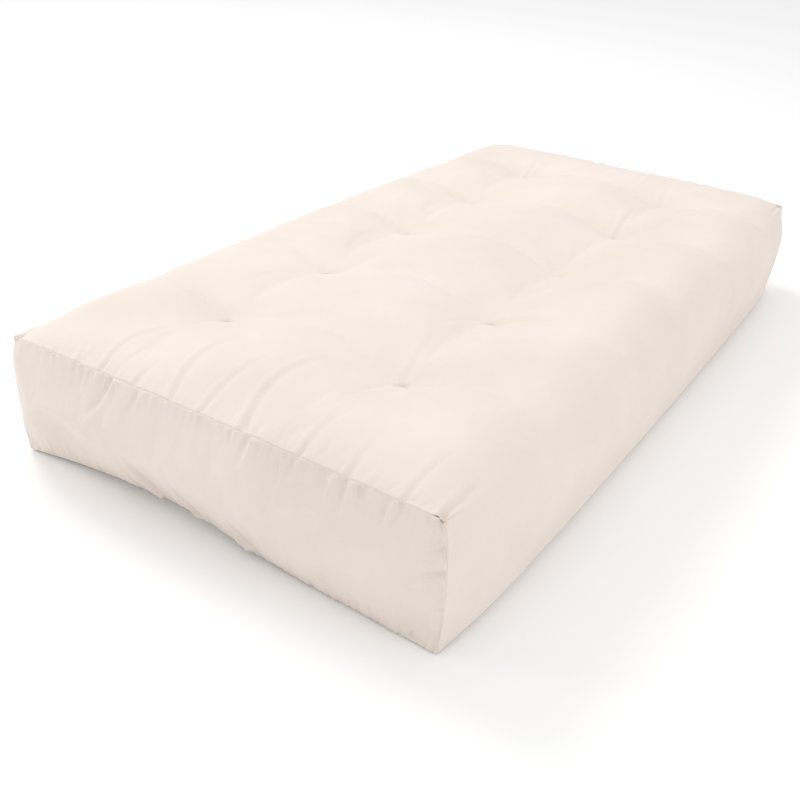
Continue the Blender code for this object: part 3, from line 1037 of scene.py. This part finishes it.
def twine_route(tuft, top, knot_z):
    """Corners of the route: tail, turns of the knot, up one leg, across, down, and tail."""
    leg = STITCH / 2
    corners = [(TAIL, 4 * MM, knot_z - 5 * MM), (KNOT_RADIUS * 2, 1 * MM, knot_z - 2 * MM)]
    for k in range(8 * KNOT_TURNS):
        angle = k * math.pi / 4
        rise = KNOT_RISE * k / 8
        corners.append((KNOT_RADIUS * math.cos(angle), KNOT_RADIUS * math.sin(angle), knot_z + rise))
    neck = knot_z + KNOT_RISE * KNOT_TURNS
    corners += [(leg * 0.6, 0, neck + 5 * MM), (leg, 0, neck + 14 * MM), (leg, 0, top - 2 * MM)]
    corners += [(leg * 0.7, 0, top), (-leg * 0.7, 0, top), (-leg, 0, top - 2 * MM)]
    corners += [(-leg, 0, neck + 14 * MM), (-leg * 0.4, 0, neck + 5 * MM)]
    corners += [(0, 0, neck), (0, 0, knot_z - 2 * MM)]
    corners += [(-TAIL * 0.4, -3 * MM, knot_z - 5 * MM), (-TAIL * 0.9, -6 * MM, knot_z - 6 * MM)]
    return np.array(corners) + [tuft.x, tuft.y, 0]


print("a stitch of", STITCH / MM, "mm, a knot of", KNOT_TURNS, "turns, tails of", TAIL / MM, "mm")

# %% [markdown]
# Twine is three plies twisted together. A plain tube would look like wire, so each ply is a line
# of its own, wound round the twine's route. The twist's length, called the lay, is some three
# times the twine's thickness, as on real twine.

# %% Plies wound round a route
TWINE_RADIUS = 1.2 * MM
PLIES = 3
LAY = 7 * MM
PLY_OFFSET = 0.52 * TWINE_RADIUS
PLY_RADIUS = 0.56 * TWINE_RADIUS


def plies_round(line):
    """The plies of the twine, each a line wound round the route."""
    tangent = np.gradient(line, axis=0)
    tangent /= np.maximum(np.linalg.norm(tangent, axis=1, keepdims=True), 1e-9)
    beside = np.cross(tangent, [0.0, 1.0, 0.05])
    beside /= np.maximum(np.linalg.norm(beside, axis=1, keepdims=True), 1e-9)
    across = np.cross(tangent, beside)
    step = np.linalg.norm(np.diff(line, axis=0, prepend=line[:1]), axis=1)
    turn = 2 * math.pi * np.cumsum(step) / LAY
    out = []
    for ply in range(PLIES):
        angle = (turn + 2 * math.pi * ply / PLIES)[:, None]
        out.append(line + PLY_OFFSET * (beside * np.cos(angle) + across * np.sin(angle)))
    return out


print(PLIES, "plies", round(2 * PLY_RADIUS / MM, 2), "mm thick, a turn every", LAY / MM, "mm")

# %% [markdown]
# Each twine's stitch lies on the finished cloth on top, and its knot just below the cloth of the
# underside, in its dome, so both heights are looked up in the sleeve. The plies are turned from
# curves to meshes at once, so that the size of the whole can be measured exactly.

# %% Ten tied twines
POINT_SPACING = 1.1 * MM


def cloth_height(x, y, above):
    """Height of the sleeve nearest this place, on top or on the underside."""
    top = np.abs(STATIONS) < HALF_WIDTH
    part = sleeve[:, top if above else ~top]
    away = np.hypot(part[..., 0] - x, part[..., 1] - y)
    if not above:
        away = np.where(part[..., 2] < SEAM_TOP / 2, away, 1)
    return float(part[..., 2].ravel()[np.argmin(away)])


twines = []
for name, tuft in zip(CORD_NAMES, TUFTS):
    top = cloth_height(tuft.x, tuft.y, True) + 1.5 * MM
    knot = cloth_height(tuft.x, tuft.y, False) - 11 * MM
    line = softened(even_points(twine_route(tuft, top, knot), POINT_SPACING), 3)
    curve = bpy.data.curves.new(name + "_twine", "CURVE")
    curve.dimensions = "3D"
    curve.bevel_depth = PLY_RADIUS
    curve.bevel_resolution = 1
    curve.use_fill_caps = True
    for ply in plies_round(line):
        spline = curve.splines.new("POLY")
        spline.points.add(len(ply) - 1)
        spline.points.foreach_set("co", np.column_stack([ply, np.ones(len(ply))]).ravel())
    guide = bpy.data.objects.new("twine_guide", curve)
    mesh = bpy.data.meshes.new_from_object(guide)
    bpy.data.curves.remove(curve)
    mesh.shade_smooth()
    twine = bpy.data.objects.new(name + "_twine", mesh)
    bpy.context.scene.collection.objects.link(twine)
    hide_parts(name)
    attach(twine, "root")
    twines.append(twine)
print("twine of", len(line), "points,", round(len(line) * POINT_SPACING / MM), "mm long")

# %% [markdown]
# ## Colours and nodes
#
# Colours are written as they look on a screen, in hex. Shaders work in linear light, so one
# function turns them. Another small one adds a node with its settings and links, and a third
# starts a material and sets what is the same all over it straight on its shader.

# %% Helpers for materials
def linear(hex_colour):
    """An sRGB hex colour as the linear red, green, blue and alpha that shaders take."""
    parts = [int(hex_colour[k : k + 2], 16) / 255 for k in (1, 3, 5)]
    return [c / 12.92 if c <= 0.04045 else ((c + 0.055) / 1.055) ** 2.4 for c in parts] + [1.0]


def add_node(tree, kind, settings=None, links=None):
    """Adds a shader node, sets its inputs (by name or number) or properties, and links its inputs."""
    node = tree.nodes.new("ShaderNode" + kind)
    for name, value in (settings or {}).items():
        if isinstance(name, int) or name in node.inputs:
            node.inputs[name].default_value = value
        else:
            setattr(node, name, value)
    for name, source in (links or {}).items():
        tree.links.new(source, node.inputs[name])
    return node


def new_material(name, settings):
    """A material with its shader's own sockets set, its node tree, and that shader."""
    made = bpy.data.materials.new(name)
    made.use_nodes = True
    shader = made.node_tree.nodes["Principled BSDF"]
    for socket, value in settings.items():
        shader.inputs[socket].default_value = value
    return made, made.node_tree, shader


print("warm white is", [round(part, 3) for part in linear("#EFE5DC")[:3]], "in linear light")

# %% [markdown]
# ## Cotton twill
#
# Natural cotton twill is woven from unbleached yarn: warm white, matt, with diagonal ribs, here
# and there a thicker yarn, called a slub, and specks of seed husk. Light glances off the fine
# fuzz on its yarns, so it looks a little paler where it is seen edge on; that is the sheen.
#
# The real ribs are 0.6 mm apart, too fine to show at this distance, so they are drawn 2.4 mm
# apart. The pattern runs in the mattress's own three directions, so it needs no unwrapping, and a
# diagonal wave through x, y and z gives a diagonal rib on the top, the sides and the ends alike.
# Yarns never run quite straight, so each place is first moved a little by a slow noise.

# %% Cotton twill, ribs and yarns
RIB_SPACING = 2.4 * MM  # 0.6 mm on real cloth, drawn four times as coarse to show
SLUB_WIDTH = 1.5 * MM
SLUB_LENGTH = 40 * MM
YARN_WANDER = 4 * MM
WANDER_SIZE = 71.4 * MM
twill, tree, twill_shader = new_material(
    "cotton_twill",
    {
        "Roughness": 0.92,
        "IOR": 1.5,
        "Specular IOR Level": 0.25,
        "Sheen Weight": 0.12,
        "Sheen Roughness": 0.5,
    },
)
place = add_node(tree, "TexCoord").outputs["Object"]
drift = add_node(tree, "TexNoise", {"Scale": 1 / WANDER_SIZE, "Detail": 2.0}, {"Vector": place})
cloth = add_node(
    tree,
    "Mix",
    {"data_type": "VECTOR", 0: YARN_WANDER},
    {4: place, 5: drift.outputs["Color"]},
).outputs[1]
# a diagonal wave of scale 1 repeats every 2 pi / 10 along x + y
ribs = add_node(
    tree,
    "TexWave",
    {
        "bands_direction": "DIAGONAL",
        "Scale": 2 * math.pi / 10 / (RIB_SPACING * math.sqrt(2)),
        "Distortion": 0.6,
        "Detail": 1.0,
    },
    {"Vector": cloth},
)
yarns = []
for stretch in ((SLUB_LENGTH, SLUB_WIDTH, SLUB_WIDTH), (SLUB_WIDTH, SLUB_LENGTH, SLUB_LENGTH)):
    along = add_node(tree, "Mapping", {"Scale": [1 / size for size in stretch]}, {"Vector": cloth})
    yarn = add_node(tree, "TexNoise", {"Scale": 1.0, "Detail": 2.0}, {"Vector": along.outputs["Vector"]})
    yarns.append(yarn.outputs["Fac"])
weave = add_node(tree, "Math", {"operation": "ADD"}, {0: yarns[0], 1: yarns[1]}).outputs["Value"]
print("ribs", RIB_SPACING / MM, "mm apart, slubs", SLUB_WIDTH / MM, "by", SLUB_LENGTH / MM, "mm")

# %% [markdown]
# The relief has two parts: the weave itself, and the slight rumple that cloth takes on from being
# folded and handled. One bump node feeds the other, so that both show at once.

# %% Cotton twill, relief
RUMPLE_SIZE = 18.2 * MM
relief = add_node(
    tree,
    "Math",
    {"operation": "MULTIPLY_ADD", 1: 0.35},
    {0: ribs.outputs["Fac"], 2: weave},
)
rumple = add_node(
    tree,
    "TexNoise",
    {"Scale": 1 / RUMPLE_SIZE, "Detail": 4.0, "Roughness": 0.65},
    {"Vector": place},
)
woven_bump = add_node(
    tree,
    "Bump",
    {"Strength": 0.22, "Distance": 0.5 * MM},
    {"Height": relief.outputs["Value"]},
)
rumpled_bump = add_node(
    tree,
    "Bump",
    {"Strength": 0.35, "Distance": 1.2 * MM},
    {"Height": rumple.outputs["Fac"], "Normal": woven_bump.outputs["Normal"]},
)
tree.links.new(rumpled_bump.outputs["Normal"], twill_shader.inputs["Normal"])
print("rumples about", RUMPLE_SIZE / MM, "mm across")

# %% [markdown]
# Unbleached cotton is never one colour. Its tone drifts from bale to bale, each yarn is a little
# lighter or darker than the next, and flecks of seed husk, a millimetre or so across, are spun
# in with the fibre.

# %% Cotton twill, colour
SPECK_SPACING = 26 * MM
BLOTCH_SIZE = 200 * MM
blotch = add_node(tree, "TexNoise", {"Scale": 1 / BLOTCH_SIZE, "Detail": 3.0}, {"Vector": place})
tone = add_node(tree, "ValToRGB", {}, {"Fac": blotch.outputs["Fac"]})
tone.color_ramp.elements[0].position = 0.3
tone.color_ramp.elements[0].color = linear("#EBDFD5")
tone.color_ramp.elements[1].position = 0.7
tone.color_ramp.elements[1].color = linear("#EFE5DC")
yarn_tone = add_node(
    tree,
    "MapRange",
    {"From Min": 0.6, "From Max": 1.4, "To Min": 0.982, "To Max": 1.01},
    {"Value": weave},
)
woven = add_node(
    tree,
    "VectorMath",
    {"operation": "SCALE"},
    {0: tone.outputs["Color"], "Scale": yarn_tone.outputs["Result"]},
)
husks = add_node(
    tree,
    "TexVoronoi",
    {"Scale": 1 / SPECK_SPACING, "Randomness": 1.0},
    {"Vector": place},
)
speck = add_node(
    tree,
    "MapRange",
    {"From Min": 0.022, "From Max": 0.034, "To Min": 0.5, "To Max": 0.0},
    {"Value": husks.outputs["Distance"]},
)
specked = add_node(
    tree,
    "Mix",
    {"data_type": "RGBA", 7: linear("#C9B39B")},
    {0: speck.outputs["Result"], 6: woven.outputs["Vector"]},
)
tree.links.new(specked.outputs[2], twill_shader.inputs["Base Color"])
for piece in casing:
    piece.data.materials.append(twill)
print(twill.name, "on", [piece.name for piece in casing])

# %% [markdown]
# ## Cotton batting
#
# Batting is carded cotton fibre, laid in a thick fleece. It is cream, cloudy, and full of wisps
# that lie every way, so a strongly distorted noise gives both its colour and its relief.

# %% Carded cotton batting
WISP_SIZE = 11.1 * MM
batting, tree, shader = new_material(
    "carded_cotton_batting",
    {"Roughness": 0.97, "Sheen Weight": 0.25, "Sheen Roughness": 0.6},
)
place = add_node(tree, "TexCoord").outputs["Object"]
wisps = add_node(
    tree,
    "TexNoise",
    {"Scale": 1 / WISP_SIZE, "Detail": 6.0, "Roughness": 0.7, "Distortion": 1.5},
    {"Vector": place},
)
tone = add_node(tree, "ValToRGB", {}, {"Fac": wisps.outputs["Fac"]})
tone.color_ramp.elements[0].color = linear("#D9CDB8")
tone.color_ramp.elements[1].color = linear("#F0E8DA")
fluff = add_node(tree, "Bump", {"Strength": 0.8, "Distance": 2 * MM}, {"Height": wisps.outputs["Fac"]})
tree.links.new(tone.outputs["Color"], shader.inputs["Base Color"])
tree.links.new(fluff.outputs["Normal"], shader.inputs["Normal"])
print(batting.name, "with wisps about", WISP_SIZE / MM, "mm across")

# %% [markdown]
# ## Foam
#
# The two foam sheets are cut from a block of flexible polyurethane foam. A cut face shows the
# foam's open cells, about a millimetre across, as a fine even pitting. The colour is darker towards
# the middle of each cell, where the pit is deepest; that darkening is painted shade in the pores.

# %% Polyurethane foam
CELL_SIZE = 1.2 * MM
foam, tree, shader = new_material("polyurethane_foam", {"Roughness": 0.85})
place = add_node(tree, "TexCoord").outputs["Object"]
cells = add_node(tree, "TexVoronoi", {"Scale": 1 / CELL_SIZE}, {"Vector": place}).outputs["Distance"]
# painted shade: the colour darkens towards each cell's middle, down in its pit
tone = add_node(tree, "ValToRGB", {}, {"Fac": cells})
tone.color_ramp.elements[0].color = linear("#D8C48E")
tone.color_ramp.elements[1].color = linear("#F0E2B8")
pores = add_node(tree, "Bump", {"Strength": 0.5, "Distance": 0.5 * MM}, {"Height": cells})
tree.links.new(tone.outputs["Color"], shader.inputs["Base Color"])
tree.links.new(pores.outputs["Normal"], shader.inputs["Normal"])
for sheet in fill:
    sheet.data.materials.append(foam if "foam" in sheet.name else batting)
print("fill:", [f"{sheet.name}: {sheet.data.materials[0].name}" for sheet in fill])

# %% [markdown]
# ## Waxed twine
#
# The twine is cotton too, a shade darker for its wax, with fibres along its plies.

# %% Waxed cotton twine
FIBRE_SIZE = 1.11 * MM
waxed, tree, shader = new_material(
    "waxed_cotton_twine",
    {"Roughness": 0.7, "Sheen Weight": 0.2, "Sheen Roughness": 0.4},
)
place = add_node(tree, "TexCoord").outputs["Object"]
fibre_noise = add_node(tree, "TexNoise", {"Scale": 1 / FIBRE_SIZE, "Detail": 3.0}, {"Vector": place})
fibres = fibre_noise.outputs["Fac"]
tone = add_node(tree, "ValToRGB", {}, {"Fac": fibres})
tone.color_ramp.elements[0].color = linear("#D6C8B6")
tone.color_ramp.elements[1].color = linear("#EFE4D6")
fuzz = add_node(tree, "Bump", {"Strength": 0.4, "Distance": 0.2 * MM}, {"Height": fibres})
tree.links.new(tone.outputs["Color"], shader.inputs["Base Color"])
tree.links.new(fuzz.outputs["Normal"], shader.inputs["Normal"])
for twine in twines:
    twine.data.materials.append(waxed)
print(len(twines), "twines of", waxed.name)

# %% [markdown]
# ## Floor
#
# The mattress lies on white paper, the plain ground of a furniture picture. One large sheet is
# enough, a hair below the underside so that the two never flicker into each other.

# %% White paper
FLOOR_REACH = 30
corners = [(-1, -1), (1, -1), (1, 1), (-1, 1)]
mesh = bpy.data.meshes.new("floor")
mesh.from_pydata([(x * FLOOR_REACH, y * FLOOR_REACH, -0.5 * MM) for x, y in corners], [], [(0, 1, 2, 3)])
floor = bpy.data.objects.new("floor", mesh)
bpy.context.scene.collection.objects.link(floor)
paper, _, _ = new_material("white_paper", {"Base Color": linear("#FCFCFC"), "Roughness": 0.9})
floor.data.materials.append(paper)
print("floor:", 2 * FLOOR_REACH, "m of", paper.name)

# %% [markdown]
# ## Light
#
# In a white studio light comes from everywhere, but more from the ceiling than from the walls. So
# the world glows brighter overhead than at the horizon, which leaves the sides and the ends a
# little darker than the top. That is the light it gives; looked at directly, it is as white as
# the paper.

# %% The world's glow
WALL_GLOW = 0.45
CEILING_GLOW = 1.12
world = bpy.data.worlds.new("studio")
world.use_nodes = True
tree = world.node_tree
outwards = add_node(tree, "TexCoord").outputs["Generated"]
upwards = add_node(tree, "SeparateXYZ", {}, {"Vector": outwards}).outputs["Z"]
glow = add_node(tree, "MapRange", {"To Min": WALL_GLOW, "To Max": CEILING_GLOW}, {"Value": upwards})
seen = add_node(tree, "LightPath").outputs["Is Camera Ray"]
shown = add_node(tree, "Mix", {3: 1.0}, {0: seen, 2: glow.outputs["Result"]}).outputs[0]
backdrop = tree.nodes["Background"]
backdrop.inputs["Color"].default_value = (1, 1, 1, 1)
tree.links.new(shown, backdrop.inputs["Strength"])
bpy.context.scene.world = world
bpy.context.scene.view_settings.view_transform = "Standard"
print("world glow", WALL_GLOW, "to", CEILING_GLOW)

# %% [markdown]
# A wide lamp up on the left gives every puff a bright and a shaded flank. A weaker one off the
# left front corner grazes the end panel, so that its gathers show, and another stands in for a
# pale wall that faces the long right side.

# %% Three soft lamps
def soft_light(name, place, size, power):
    """A round soft lamp that faces the mattress."""
    light = bpy.data.lights.new(name, "AREA")
    light.shape = "DISK"
    light.size = size
    light.energy = power
    lamp = bpy.data.objects.new(name, light)
    lamp.location = place
    lamp.rotation_euler = (Vector((0, 0, TOP / 2)) - lamp.location).to_track_quat("-Z", "Y").to_euler()
    bpy.context.scene.collection.objects.link(lamp)
    print(name, "at", [round(c, 2) for c in place], power, "W")


soft_light("window_light", Vector((-4.2, 0.8, 4.6)), 2.2, 90)
soft_light("corner_light", Vector((-3.6, -2.6, 1.3)), 1.2, 22)
soft_light("wall_light", Vector((4.6, -0.8, 1.6)), 2.4, 24)

# %% [markdown]
# ## Camera
#
# The mattress is seen from its front right corner, from above, with the camera tilted a little
# about its own axis. The camera's place is worked out from the model's box: it stands back from
# a point near the middle by so many times the mattress's length.

# %% Camera
AZIMUTH = math.radians(-31.79)
ELEVATION = math.radians(29.57)
ROLL = math.radians(3.28)
width, length, height = cad_high - cad_low
aim = Vector((-0.0761 * width, -0.1017 * length, -0.254 * height))
forward = Vector((math.sin(AZIMUTH), math.cos(AZIMUTH), 0)) * math.cos(ELEVATION)
forward.z = -math.sin(ELEVATION)
right = forward.cross(Vector((0, 0, 1))).normalized()
up = right.cross(forward)
tilted_right = math.cos(ROLL) * right + math.sin(ROLL) * up
tilted_up = math.cos(ROLL) * up - math.sin(ROLL) * right
camera_data = bpy.data.cameras.new("camera")
camera_data.lens = 42.9
camera_data.sensor_width = 36
camera = bpy.data.objects.new("camera", camera_data)
camera.location = aim - 1.2029 * length * forward
camera.rotation_euler = Matrix([tilted_right, tilted_up, -forward]).transposed().to_euler()
bpy.context.scene.collection.objects.link(camera)
bpy.context.scene.camera = camera
print("camera at", [round(c, 4) for c in camera.location])

# %% [markdown]
# ## The imported solids' box
#
# The finished look stands a little proud of the imported solids, but not by much. The box of the
# imported solids is printed.

print("cad", [round(c, 4) for c in (*cad_low, *cad_high)])
